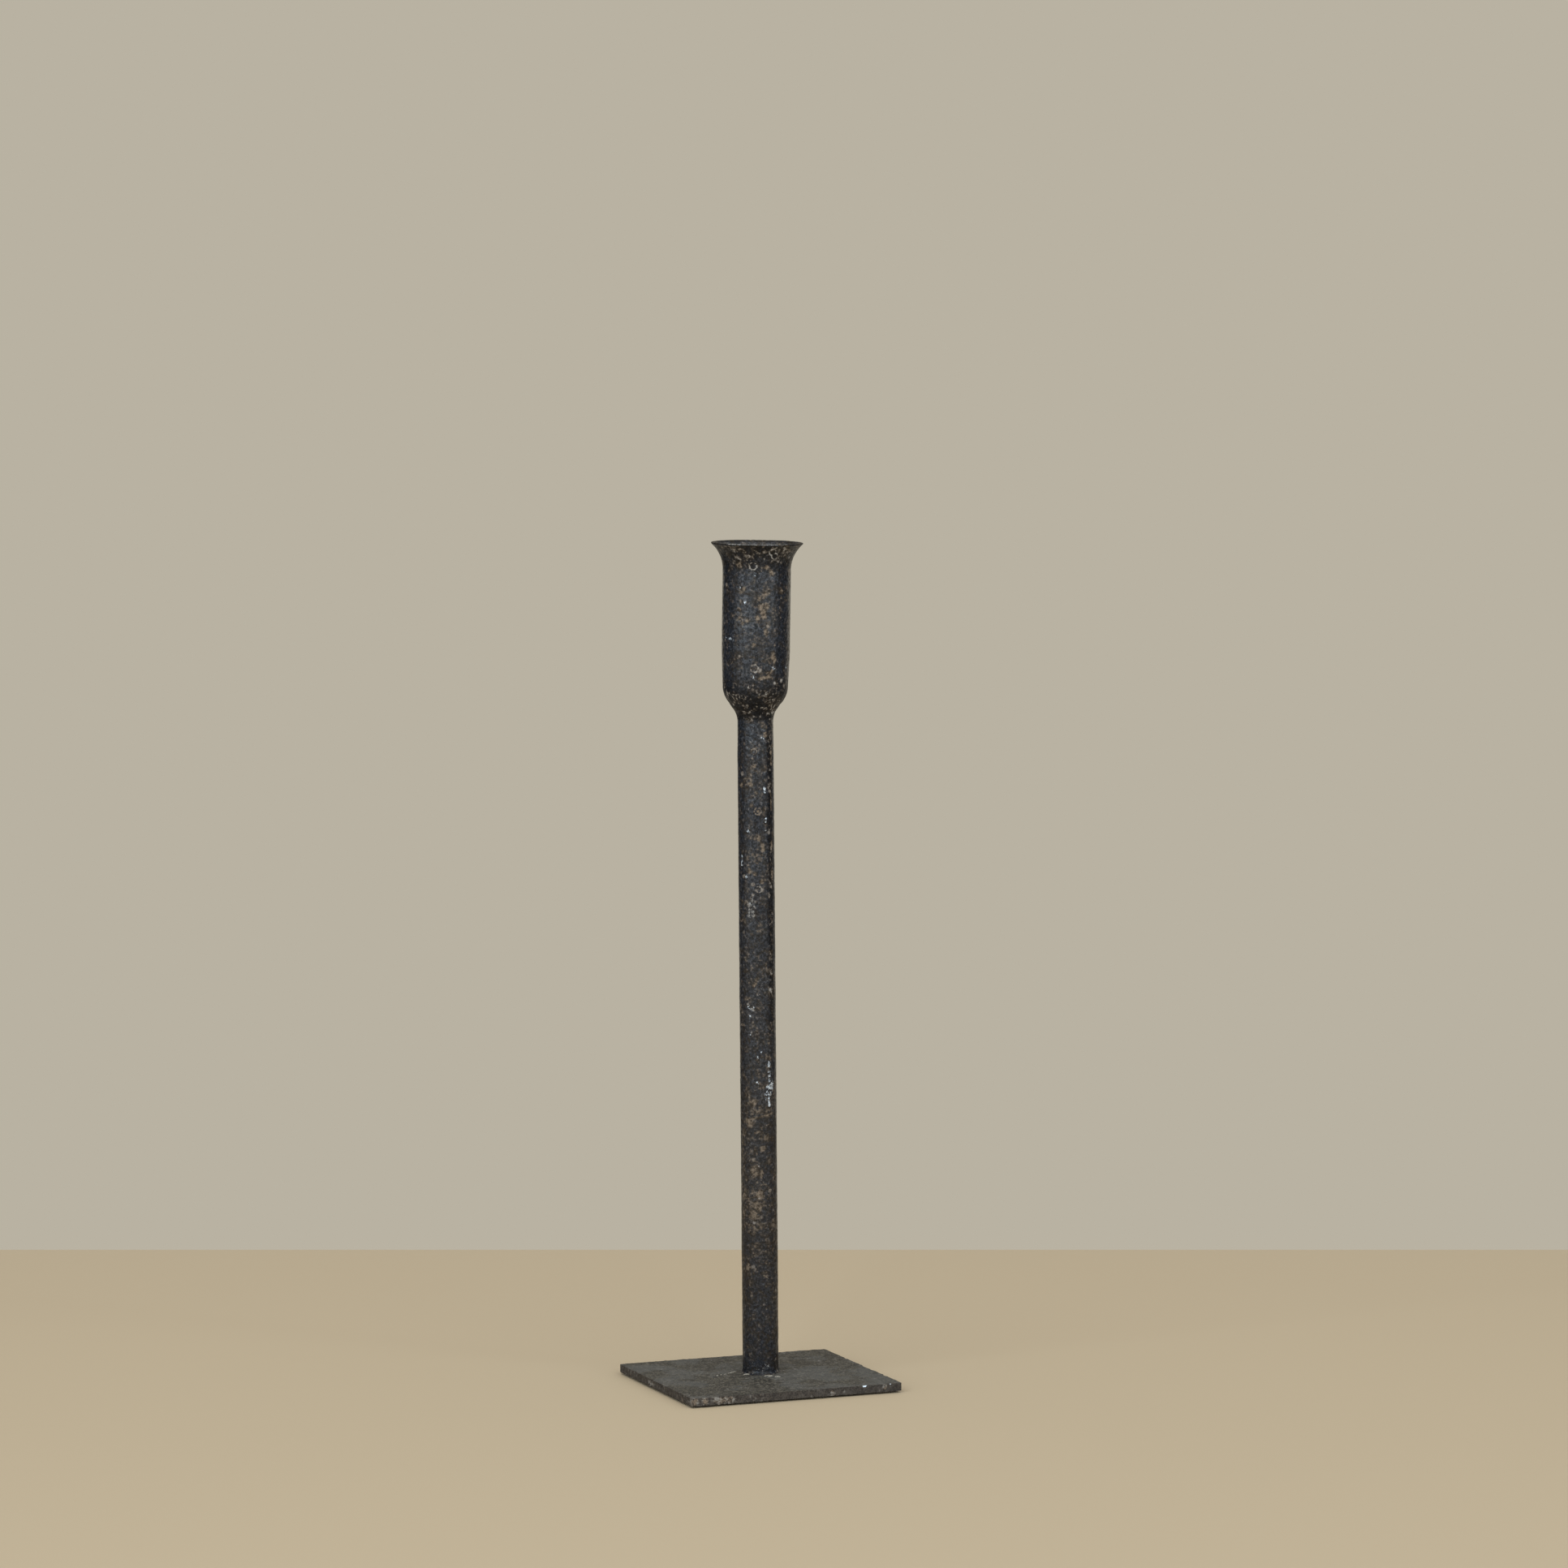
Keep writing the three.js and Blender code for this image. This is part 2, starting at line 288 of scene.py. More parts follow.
class Signal:
    """A shader socket in a Python expression: sums and products of values become Math nodes."""

    def __init__(self, tree, socket):
        self.tree = tree
        self.socket = socket

    def node(self, kind, settings=None, inputs=None, output=0):
        """Adds a shader node, first with its settings and then with its sockets' values or links."""
        made = self.tree.nodes.new("ShaderNode" + kind)
        for name, value in (settings or {}).items():
            setattr(made, name, value)
        for key, value in (inputs or {}).items():
            if isinstance(value, Signal):
                self.tree.links.new(value.socket, made.inputs[key])
            else:
                made.inputs[key].default_value = value
        return Signal(self.tree, made.outputs[output] if made.outputs else None)

    def math(self, operation, first, second=0.0):
        """One sum, product or other operation on values or signals."""
        return self.node("Math", {"operation": operation}, {0: first, 1: second})

    def __add__(self, other):
        return self.math("ADD", self, other)

    def __sub__(self, other):
        return self.math("SUBTRACT", self, other)

    def __rsub__(self, other):
        return self.math("SUBTRACT", other, self)

    def __mul__(self, other):
        return self.math("MULTIPLY", self, other)

    __radd__ = __add__
    __rmul__ = __mul__

    def __abs__(self):
        return self.math("ABSOLUTE", self)

    def higher(self, other):
        """The higher of this value and another."""
        return self.math("MAXIMUM", self, other)

    def step(self, start, end):
        """Rises smoothly from 0 at start to 1 at end, or falls where end is the lower one."""
        falls = end < start
        limits = {1: min(start, end), 2: max(start, end), 3: float(falls), 4: float(not falls)}
        settings = {"interpolation_type": "SMOOTHSTEP"}
        return self.node("MapRange", settings, {0: self, **limits})

    def mix(self, first, second):
        """Mixes two colours, with this value as the share of the second."""
        settings = {"data_type": "RGBA", "clamp_factor": True}
        return self.node("Mix", settings, {0: self, 6: solid(first), 7: solid(second)}, 2)

    def noise(self, size, detail=2.0, roughness=0.5, distortion=0.0):
        """Noise with features of this size, on this signal as the place."""
        inputs = {"Vector": self, "Scale": 1 / size, "Detail": detail,
                  "Roughness": roughness, "Distortion": distortion}
        return self.node("TexNoise", None, inputs)

    def warped(self, size, reach):
        """This place, pushed about by noise of this size, so that clean shapes turn ragged."""
        kind = "VectorMath"
        inputs = {"Vector": self, "Scale": 1 / size, "Detail": 2.0}
        raw = self.node("TexNoise", None, inputs, 1)
        centred = self.node(kind, {"operation": "SUBTRACT"}, {0: raw, 1: (0.5, 0.5, 0.5)})
        scaled = self.node(kind, {"operation": "SCALE"}, {0: centred, "Scale": 2 * reach})
        return self.node(kind, {"operation": "ADD"}, {0: self, 1: scaled})

    def spots(self, spacing, share, widest):
        """Separate spots: how far inside its spot a place lies, in a share of cells of this spacing."""
        cells = self.node("TexVoronoi", None, {"Vector": self, "Scale": 1 / spacing}, "Color")
        apart = Signal(self.tree, cells.socket.node.outputs["Distance"])
        chance = cells.node("SeparateColor", None, {0: cells})
        return (chance - (1 - share)) * (widest / (2 * share * spacing)) - apart


def solid(shade):
    """The four numbers that a colour socket takes, or the signal itself where the colour is one."""
    return shade if isinstance(shade, Signal) else (*shade, 1.0)


def new_surface(name):
    """A new material and its first signal, the place on the object."""
    material = bpy.data.materials.new(name)
    material.use_nodes = True
    tree = material.node_tree
    tree.nodes.clear()
    return material, Signal(tree, None).node("TexCoord", None, None, "Object")


def attributes(place, *names):
    """The values stored under these names on the piece's own vertices."""
    return [place.node("Attribute", {"attribute_name": name}, None, "Fac") for name in names]


def finish_surface(place, inputs, bumps):
    """Ends a material: a shader with these inputs, and bumps given as (height, depth) pairs."""
    normal = None
    for height, depth in bumps:
        sockets = {"Height": height, "Distance": depth, "Strength": 1.0}
        if normal:
            sockets["Normal"] = normal
        normal = place.node("Bump", None, sockets)
    if normal:
        inputs["Normal"] = normal
    shader = place.node("BsdfPrincipled", None, inputs)
    place.node("OutputMaterial", None, {"Surface": shader})


def waxed_iron(name):
    """Blackened, waxed iron: blue black and sandy, brown in its hollows, with tan patches and spots, and
    painted shade, sparkles and glints.
    """
    colours = bpy.context.scene.holder_colours
    material, place = new_surface(name)
    relief, ring, tan, scaly, glint, pale, dull = attributes(
        place, "relief", "rings", "rust", "scaly", "bare", "spatter", "dull")

    # Noise of four sizes, and what lies deep
    cloud = place.noise(13 * MM, 2)
    patch = place.noise(3.4 * MM, 3, 0.62, 0.5)
    speckle = place.noise(1.1 * MM, 2, 0.58)
    grain = place.noise(0.5 * MM, 2, 0.6)
    fine = grain + (speckle - 0.5) * 0.7
    hollow = relief.step(0.46, 0.20)

    # Separate marks: curls, rings, spots and flakes of rust, small painted sparkles, and drops of chipped
    # metal that are partly painted glints
    curl = (abs(place.noise(3.2 * MM, 1, 0.5, 0.9) - 0.5) - (speckle - 0.5) * 0.26).step(0.090, -0.04)
    curl = curl * patch.step(0.47, 0.60) * scaly.step(0.3, 0.8)
    ring = (abs(ring - 0.5) - (speckle - 0.5) * 0.9).step(0.26, 0.04) * patch.step(0.36, 0.48)
    ragged = place.warped(0.8 * MM, 0.35 * MM)
    spot = ragged.spots(3.2 * MM, 0.32, 1.9 * MM).step(-0.08, 0.14)
    flake = place.warped(0.9 * MM, 0.7 * MM).spots(1.9 * MM, 0.22, 1.6 * MM).step(-0.10, 0.22)
    flake = flake * scaly.step(0.3, 0.8)
    painted_sparkle = place.spots(0.75 * MM, 0.35, 0.55 * MM).step(0.0, 0.08)
    drops = place.warped(0.6 * MM, 0.75 * MM).spots(1.0 * MM, 1.0, 1.7 * MM).step(-0.10, 0.25)

    # Rust: patches, with the marks over them
    rust = patch + (cloud - 0.5) * 0.6 + (speckle - 0.5) * 1.1 + tan * 0.42
    rust = rust.step(0.60, 1.10) * (1 - dull * 0.6)
    marks = (spot * 0.8).higher(ring * 0.8).higher(curl * 0.8).higher(flake * 0.7)
    marks = marks * (0.35 + speckle.step(0.30, 0.60) * 0.65) * (1 - dull * 0.8)
    light = (rust * (0.44 + fine.step(0.30, 0.62) * 0.46)).higher(marks)
    # Painted highlight: the drops of chipped metal are half diffuse bluish white, so they show as glints
    # from any side
    metal = drops * (glint + (speckle - 0.5) * 1.8).step(0.35, 0.85)

    # Colour, from the dark iron up to the chipped metal, with painted shade, sparkles and glints
    tone = fine.step(0.32, 0.60).mix(colours.pit, colours.iron)
    tone = (fine.step(0.56, 0.80) * 0.5).mix(tone, colours.sand_and_sparkle)
    brown = patch.step(0.44, 0.62) * 0.5 + hollow * 0.4 + tan * 0.9 + dull * 0.4
    tone = brown.mix(tone, colours.scale)
    crumb = (speckle + (patch - 0.5) * 0.5).step(0.57, 0.68) * grain.step(0.35, 0.60)
    tone = (crumb * (1 - dull) * 0.4).mix(tone, colours.crumb)
    # Scale, and painted shade on the socket's shoulder, flare and lip, mixed towards near black
    tone = (scaly * 0.7).mix(tone, colours.scorched_and_shade)
    # Painted highlight: small dots painted a paler sandy grey as sparkles
    tone = (painted_sparkle * (1 - scaly) * 0.35).mix(tone, colours.sand_and_sparkle)
    paler = marks * (scaly + cloud.step(0.44, 0.58) * 0.6) + fine.step(0.46, 0.66) * 0.12
    tone = light.mix(tone, paler.mix(colours.fleck, colours.ash_and_highlight))
    # Pale spatter, and on the socket's front lip a painted highlight
    pale = (pale * 0.8 + (speckle - 0.5) * 1.6 + (grain - 0.5) * 1.4).step(0.35, 1.1) * 0.75
    tone = pale.mix(tone, colours.ash_and_highlight)
    tone = metal.mix(tone, colours.bare)

    # Wax: thin on the rust, on the scale and in the hollows
    wax = (0.88 + fine.step(0.32, 0.60) * 0.22) * (0.64 + cloud.step(0.36, 0.58) * 0.38)
    wax = wax * (0.60 + speckle.step(0.38, 0.60) * 0.70) * (1 - dull * 0.9) * (1 - crumb * 0.4)
    wax = (wax + painted_sparkle * 0.3) * (1 - scaly * 0.82) * (1 - hollow * 0.4) * (1 - light * 0.8)
    finish_surface(place, {
        "Base Color": tone,
        "Roughness": 0.50 + light * 0.25 - metal * 0.28,
        "Metallic": metal * 0.5,
        "Specular IOR Level": 0.08,
        "Coat Weight": wax,
        "Coat Roughness": 0.28,
    }, [(speckle + spot * 0.3 - rust * 0.2, 0.18 * MM), (grain, 0.13 * MM)])
    return material


def plate_iron():
    """The plate's dull mill scale, browner on its sheared sides, with painted shade on its left side and
    darker towards the right end of its front.
    """
    colours = bpy.context.scene.holder_colours
    material, place = new_surface("dull plate iron")
    bare, tan, edge, spatter, soot = attributes(place, "bare", "rust", "edge", "spatter", "soot")
    cloud = place.noise(15 * MM, 3, 0.6)
    patch = place.noise(5 * MM, 3, 0.62, 0.6)
    blotch = place.noise(2.4 * MM, 4, 0.7)
    speckle = place.noise(1.2 * MM, 3, 0.65)
    grain = place.noise(0.6 * MM, 2, 0.7)
    fine = blotch + (speckle - 0.5) * 0.5 + (grain - 0.5) * 0.9
    tone = fine.step(0.34, 0.66).mix(colours.plate_pit, colours.plate)
    tone = (fine.step(0.56, 0.86) * 0.36).mix(tone, colours.plate_grain)
    tone = (patch.step(0.46, 0.62) * 0.5).mix(tone, colours.plate_brown)
    tone = (cloud.step(0.46, 0.60) * 0.3).mix(tone, colours.plate_haze)
    tone = (edge * 0.85).mix(tone, colours.sheared)
    tone = (edge * fine.step(0.54, 0.34) * 0.7).mix(tone, colours.soot)
    # Painted shade on the plate's left side, and darker towards the right end of its front, with fainter
    # flecks there
    tone = (soot * 0.25).mix(tone, colours.soot)
    rust = patch + (speckle - 0.5) * 1.1 + tan * 0.40
    light = rust.step(0.60, 1.0) * grain.step(0.22, 0.56) * (1 - soot * 0.5)
    tone = (light * 0.85).mix(tone, blotch.step(0.46, 0.58).mix(colours.fleck, colours.plate_fleck))
    pale = (spatter + (speckle - 0.5) * 1.2 + (grain - 0.5) * 0.8).step(0.35, 0.85)
    tone = (pale * 0.85).mix(tone, colours.spatter)
    metal = (bare + (speckle - 0.5) * 0.8).step(0.50, 0.66)
    tone = metal.mix(tone, colours.bare)
    finish_surface(place, {
        "Base Color": tone,
        "Roughness": 0.74 + (fine - 0.5) * 0.4 + light * 0.1 - metal * 0.4,
        "Metallic": metal,
        "Specular IOR Level": 0.35,
    }, [(speckle, 0.10 * MM), (grain, 0.06 * MM)])
    return material


def pad_rubber():
    """Dusty black rubber."""
    colours = bpy.context.scene.holder_colours
    material, place = new_surface("black pad rubber")
    grain = place.noise(0.8 * MM, 2)
    tone = (grain.step(0.45, 0.75) * 0.4).mix(colours.rubber, colours.dust)
    finish_surface(place, {"Base Color": tone, "Roughness": 0.85 + grain * 0.1}, [(grain, 0.05 * MM)])
    return material


# Modelling

def deselect():
    """Leaves edit mode and deselects every object, the packed solids too."""
    if bpy.context.object and bpy.context.object.mode != "OBJECT":
        bpy.ops.object.mode_set(mode="OBJECT")
    bpy.ops.object.select_all(action="DESELECT")


def take(piece):
    """Makes one piece the only selected and active object."""
    deselect()
    piece.select_set(True)
    bpy.context.view_layer.objects.active = piece


def select_where(piece, test, kind="faces"):
    """In edit mode, selects only the faces or edges that pass a test."""
    bpy.ops.mesh.select_all(action="DESELECT")
    mesh = bmesh.from_edit_mesh(piece.data)
    for item in getattr(mesh, kind):
        if test(item):
            item.select_set(True)
    mesh.select_flush_mode()
    bmesh.update_edit_mesh(piece.data)


def arc(centre, radius, start, end, steps=10):
    """Points (radius from the axis, height) along an arc, with angles in radians."""
    angles = [start + (end - start) * step / steps for step in range(steps + 1)]
    return [(centre[0] + radius * math.cos(a), centre[1] + radius * math.sin(a)) for a in angles]


def turn(name, profile, grain, sides):
    """Draws a profile by extruding a vertex, cuts it finer than the grain and spins it round +Z."""
    deselect()
    bpy.ops.mesh.primitive_plane_add(size=grain)
    piece = bpy.context.object
    piece.name = piece.data.name = name
    bpy.ops.object.mode_set(mode="EDIT")
    bpy.ops.mesh.select_all(action="SELECT")
    bpy.ops.mesh.merge(type="CENTER")
    bpy.ops.transform.translate(value=(profile[0][0], 0, profile[0][1]))
    for (radius, height), (next_radius, next_height) in zip(profile, profile[1:]):
        step = (next_radius - radius, 0, next_height - height)
        bpy.ops.mesh.extrude_vertices_move(TRANSFORM_OT_translate={"value": step})
    longest = max(math.dist(a, b) for a, b in zip(profile, profile[1:]))
    while longest > grain:
        select_where(piece, lambda edge: edge.calc_length() > grain, "edges")
        bpy.ops.mesh.subdivide(number_cuts=1)
        longest /= 2
    bpy.ops.mesh.select_all(action="SELECT")
    bpy.ops.mesh.spin(steps=sides, angle=2 * math.pi, center=(0, 0, 0), axis=UP)
    bpy.ops.mesh.select_all(action="SELECT")
    bpy.ops.mesh.remove_doubles(threshold=0.002 * MM)
    bpy.ops.mesh.normals_make_consistent(inside=False)
    bpy.ops.object.mode_set(mode="OBJECT")
    return piece


def put(piece, placement):
    """Moves a piece to its place in the frame and keeps that place in its mesh."""
    take(piece)
    piece.matrix_world = placement
    bpy.ops.object.transform_apply()


def axis_frame(node):
    """Where a turned solid stands, with +Z along its axis and the origin at its foot, and its length."""
    points = np.array([vertex.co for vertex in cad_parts[node].data.vertices])
    centre = points.mean(axis=0)
    spread = np.linalg.eigh(np.cov((points - centre).T))
    direction = Vector(spread[1][:, 2]).normalized()
    if direction.z < 0:
        direction = -direction
    heights = (points - centre) @ np.array(direction)
    foot = Vector(centre) + direction * float(heights.min())
    side = direction.cross(RIGHT).cross(direction).normalized()
    turned = Matrix((side, direction.cross(side), direction)).transposed().to_4x4()
    return Matrix.Translation(foot) @ turned, float(heights.max() - heights.min())


def relief_texture(name, size, depth=2, stops=()):
    """Noise for a Displace modifier, with features of this size, through (position, grey) stops."""
    texture = bpy.data.textures.new(name, "CLOUDS")
    texture.noise_scale = size
    texture.noise_depth = depth
    if stops:
        texture.use_color_ramp = True
        elements = texture.color_ramp.elements
        elements.remove(elements[-1])
        for index, (position, grey) in enumerate(stops):
            element = elements.new(position) if index else elements[0]
            element.position = position
            element.color = (grey, grey, grey, 1.0)
    return texture


def displace(piece, texture, strength, level=0.5, weights=None, direction="NORMAL"):
    """Pushes a piece's surface in and out by a texture, by weights or by both."""
    take(piece)
    modifier = piece.modifiers.new("relief", "DISPLACE")
    modifier.texture = texture
    modifier.strength = strength
    modifier.mid_level = level
    modifier.direction = direction
    if weights is not None:
        group = piece.vertex_groups.new(name="relief")
        for index in np.flatnonzero(weights):
            group.add([int(index)], float(weights[index]), "REPLACE")
        modifier.vertex_group = group.name
    bpy.ops.object.modifier_apply(modifier=modifier.name)
    piece.vertex_groups.clear()


def push(piece, weights, direction, depth):
    """Pushes a piece's surface by weights alone."""
    displace(piece, None, depth, 0, weights, direction)


def store(piece, **levels):
    """Keeps levels for each vertex as attributes that materials read."""
    for name, values in levels.items():
        made = piece.data.attributes.new(name, "FLOAT", "POINT")
        made.data.foreach_set("value", np.asarray(values, np.float32))


def per_vertex(piece, key):
    """A piece's vertex places, under the key "co", or its vertex normals, under "normal"."""
    values = np.empty(len(piece.data.vertices) * 3, np.float32)
    piece.data.vertices.foreach_get(key, values)
    return values.reshape(-1, 3)


def under(mark, run, offsets):
    """How strongly points at these offsets from a mark's start lie under it: half at its edge."""
    share = np.clip(offsets @ run / max(run @ run, TINY), 0, 1)
    apart = np.linalg.norm(offsets - np.outer(share, run), axis=1) / (mark.width / 2)
    return np.clip(MARK_REACH - apart, 0, 1)


def around(piece, axis):
    """How high each vertex is along an axis, and how far out from it."""
    upward = np.array(axis.to_3x3() @ UP)
    from_foot = per_vertex(piece, "co") - np.array(axis.translation)
    height = from_foot @ upward
    return height, from_foot - np.outer(height, upward)


def worn(piece, axis, radius, marks):
    """For each kind of mark, how strongly each vertex on a turned piece's side lies under its strokes."""
    heights = per_vertex(piece, "co")[:, 2] / MM
    _, outward = around(piece, axis)
    turned = np.degrees(np.arctan2(outward @ np.array(RIGHT), outward @ np.array(FRONT)))
    side = math.radians(radius / MM)
    on_side = np.linalg.norm(outward, axis=1) > radius - MARK_DEPTH
    levels = {}
    for kind, strokes in marks.items():
        levels[kind] = np.zeros(len(heights))
        for stroke in (Stroke(*numbers) for numbers in strokes):
            run = np.array((stroke.run_turn * side, stroke.run_height))
            offsets = np.column_stack(((turned - stroke.turn) * side, heights - stroke.height))
            levels[kind] = np.maximum(levels[kind], under(stroke, run, offsets) * on_side)
    return levels


def chipped(piece, chips):
    """How strongly each vertex on or near the plate lies under chips."""
    points = per_vertex(piece, "co") / MM
    level = np.zeros(len(points))
    for chip in (Chip(*numbers) for numbers in chips):
        run = np.array((chip.run_x, chip.run_y, 0))
        level = np.maximum(level, under(chip, run, points - np.array((chip.x, chip.y, chip.z))))
    return level


def bands(piece, spans):
    """A level for each vertex from (height, level) pairs."""
    heights, levels = zip(*spans)
    return np.interp(per_vertex(piece, "co")[:, 2] / MM, heights, levels)


def complete(piece, material, slot, *nodes):
    """Shades a piece, gives it its material and ties it to the frame."""
    take(piece)
    bpy.ops.object.shade_smooth_by_angle(angle=math.radians(45))
    piece.data.materials.clear()
    piece.data.materials.append(material)
    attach(piece, "root")
    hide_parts(*nodes)


def weather(piece, rough=1.0):
    """Gives forged iron its waves, pits and grain, and stores their height as the relief attribute."""
    rest = per_vertex(piece, "co")
    normals = per_vertex(piece, "normal")
    waves = relief_texture("forged waves", size=11 * MM, depth=1)
    pits = relief_texture("corrosion pits", size=1.5 * MM, stops=((0.0, 0.0), (0.30, 0.3), (0.44, 1.0)))
    lumps = relief_texture("scale lumps", size=0.9 * MM)
    displace(piece, waves, strength=0.16 * MM * rough)
    displace(piece, pits, strength=0.14 * MM * rough, level=1.0)
    displace(piece, lumps, strength=0.10 * MM * rough)
    moved = ((per_vertex(piece, "co") - rest) * normals).sum(axis=1)
    store(piece, relief=np.clip(0.5 + moved / (RELIEF_SPAN * rough), 0, 1))


# Operators

class HOLDER_OT_forge_bar(bpy.types.Operator):
    """Models the round bar with its two spigots"""
    bl_idname = "holder.forge_bar"
    bl_label = "Round bar"

    def execute(self, context):
        sizes = context.scene.holder_bar
        placement, total = axis_frame("stem_bar")
        radius = sizes.diameter / 2
        spigot = sizes.spigot_diameter / 2
        foot = sizes.spigot_reach
        low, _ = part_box("neck_weld")
        shoulder = low.z - placement.translation.z
        ease = 0.3 * MM
        profile = [
            (0, 0), (spigot - ease, 0), (spigot, ease), (spigot, foot), (radius, foot),
            (radius, shoulder - sizes.neck_taper), (sizes.neck_diameter / 2, shoulder),
            (spigot, shoulder), (spigot, total - ease), (spigot - ease, total), (0, total)]
        piece = turn("round_bar", profile, grain=0.48 * MM, sides=140)
        weather(piece)
        put(piece, placement)
        marks = worn(piece, placement, radius, BAR_MARKS)
        marks["rust"] = np.maximum(marks["rust"], bands(piece, BAR_MOTTLING))
        marks["spatter"] = marks["spatter"] * 0.7
        marks["scaly"] = np.maximum(marks["scaly"] * 0.8, bands(piece, BAR_SCALE))
        store(piece, dull=bands(piece, BAR_DULLNESS), **marks)
        complete(piece, waxed_iron("waxed bar iron"), "bar_iron", "stem_bar")
        return {"FINISHED"}


def shoulder_arc(sizes):
    """The swaged shoulder's arc: its centre's radius and height, and the angle that it starts at."""
    centre = sizes.bore / 2 + sizes.wall - sizes.shoulder_taper - sizes.shoulder_radius
    base_angle = -math.acos((sizes.base_diameter / 2 - centre) / sizes.shoulder_radius)
    return centre, -sizes.shoulder_radius * math.sin(base_angle), base_angle


class HOLDER_OT_form_socket(bpy.types.Operator):
    """Models the pipe socket with its swaged bottom and flared lip"""
    bl_idname = "holder.form_socket"
    bl_label = "Pipe socket"

    def execute(self, context):
        sizes = context.scene.holder_socket
        placement, total = axis_frame("socket_cup")
        bore = sizes.bore / 2
        outer = bore + sizes.wall
        hole = sizes.floor_hole / 2
        centre, shoulder_top, base_angle = shoulder_arc(sizes)
        lip = outer + sizes.flare_overhang
        nose = sizes.lip_round
        flare_angle = math.acos(1 - sizes.flare_overhang / (sizes.flare_radius + nose))
        flare_foot = total - nose - (sizes.flare_radius + nose) * math.sin(flare_angle)
        inner_reach = lip - nose - sizes.lip_land - bore
        inner_angle = math.acos(1 - inner_reach / sizes.flare_inner_radius)
        inner_foot = total - sizes.flare_inner_radius * math.sin(inner_angle)
        corner = sizes.floor_corner
        profile = [
            (hole, 0),
            *arc((centre, shoulder_top), sizes.shoulder_radius, base_angle, 0),
            (outer, shoulder_top + sizes.taper_height),
            *arc((outer + sizes.flare_radius, flare_foot), sizes.flare_radius,
                 math.pi, math.pi - flare_angle),
            *arc((lip - nose, total - nose), nose, -flare_angle, math.pi / 2, 6),
            *arc((bore + sizes.flare_inner_radius, inner_foot), sizes.flare_inner_radius,
                 math.pi - inner_angle, math.pi),
            *arc((bore - corner, sizes.floor + corner), corner, 0, -math.pi / 2),
            (hole, sizes.floor),
            (hole, 0)]
        piece = turn("pipe_socket", profile, grain=0.6 * MM, sides=150)
        weather(piece)
        put(piece, placement)
        height, outward = around(piece, placement)
        normals = per_vertex(piece, "normal")
        outside = (normals * outward).sum(axis=1) > 0
        # Painted shade: the socket's top band, inside and out, is painted browner and near black with
        # little wax, except along the front lip's top
        rim = height > total - sizes.lip_shade
        facing_up = normals[:, 2] > 0.1
        marks = worn(piece, placement, outer, SOCKET_MARKS)
        # Painted highlight: a pale band along the top of the front lip, kept as spatter
        painted_lip_highlight = marks["spatter"] * (outside & rim & facing_up)
        marks["spatter"] = painted_lip_highlight * 0.8
        marks["scaly"] = np.where(rim, 0.25 * (1 - painted_lip_highlight), bands(piece, SOCKET_SCALE_AND_SHADE) * outside)
        store(piece, dull=np.where(rim, 0.9 * (1 - painted_lip_highlight), 0), **marks)
        complete(piece, waxed_iron("waxed socket iron"), "bar_iron", "socket_cup")
        return {"FINISHED"}


class HOLDER_OT_weld_neck(bpy.types.Operator):
    """Models the ground weld between the bar and the socket"""
    bl_idname = "holder.weld_neck"
    bl_label = "Neck weld"

    def execute(self, context):
        sizes = context.scene.holder_welds
        bar = context.scene.holder_bar
        socket = context.scene.holder_socket
        placement, _ = axis_frame("stem_bar")
        low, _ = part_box("neck_weld")
        foot = low.z - placement.translation.z
        neck = bar.neck_diameter / 2
        inner = bar.spigot_diameter / 2
        spread = socket.base_diameter / 2 - neck
        rise = math.sqrt(2 * sizes.neck_flank * spread - spread ** 2)
        top = foot + sizes.neck_height
        flank_end = math.pi - math.asin(rise / sizes.neck_flank)
        skin = 0.015 * MM
        socket_foot = axis_frame("socket_cup")[0].translation.z - placement.translation.z
        seam = socket_foot + sizes.climb
        tucked = self.shoulder(socket, sizes.climb) - sizes.tuck
        profile = [
            (inner, foot - sizes.overlap), (neck, foot - sizes.overlap), (neck + skin, foot),
            *arc((neck + skin + sizes.neck_flank, top - rise), sizes.neck_flank, math.pi, flank_end),
            (tucked, seam), (tucked, seam + sizes.overlap), (inner, seam + sizes.overlap),
            (inner, foot - sizes.overlap)]
        piece = turn("neck_weld_metal", profile, grain=0.5 * MM, sides=100)
        weather(piece)
        put(piece, placement)
        store(piece, scaly=bands(piece, NECK_SCALE))
        complete(piece, waxed_iron("waxed weld metal"), "weld_iron", "neck_weld")
        return {"FINISHED"}

    def shoulder(self, sizes, height):
        """The socket's radius at a height above its bottom, on the arc of its shoulder."""
        centre, shoulder_top, _ = shoulder_arc(sizes)
        return centre + math.sqrt(sizes.shoulder_radius ** 2 - (shoulder_top - height) ** 2)


class HOLDER_OT_weld_foot(bpy.types.Operator):
    """Models the small lumpy weld round the foot of the bar"""
    bl_idname = "holder.weld_foot"
    bl_label = "Foot weld"

    def execute(self, context):
        sizes = context.scene.holder_welds
        bar = context.scene.holder_bar.diameter / 2
        low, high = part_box("foot_weld")
        centre = (low + high) / 2
        inner = bar - sizes.overlap
        outer = bar + sizes.foot_reach
        sunk = -sizes.overlap
        sunk_flank = 0.15 * MM
        profile = [
            (inner, sunk), (outer, sunk),
            *arc((outer, sizes.foot_height - sunk_flank), sizes.foot_height, -math.pi / 2, -math.pi, 8),
            (inner, sizes.foot_height),
            (inner, sunk)]
        piece = turn("foot_weld_bead", profile, grain=0.3 * MM, sides=160)
        displace(piece, relief_texture("weld lumps", size=2.6 * MM), strength=0.45 * MM)
        weather(piece, rough=0.5)
        put(piece, Matrix.Translation((centre.x, centre.y, low.z)))
        spatter = chipped(piece, PLATE_MARKS["spatter"])
        store(piece, spatter=spatter, scaly=np.full(len(spatter), 0.5))
        complete(piece, waxed_iron("waxed foot weld"), "weld_iron", "foot_weld")
        return {"FINISHED"}


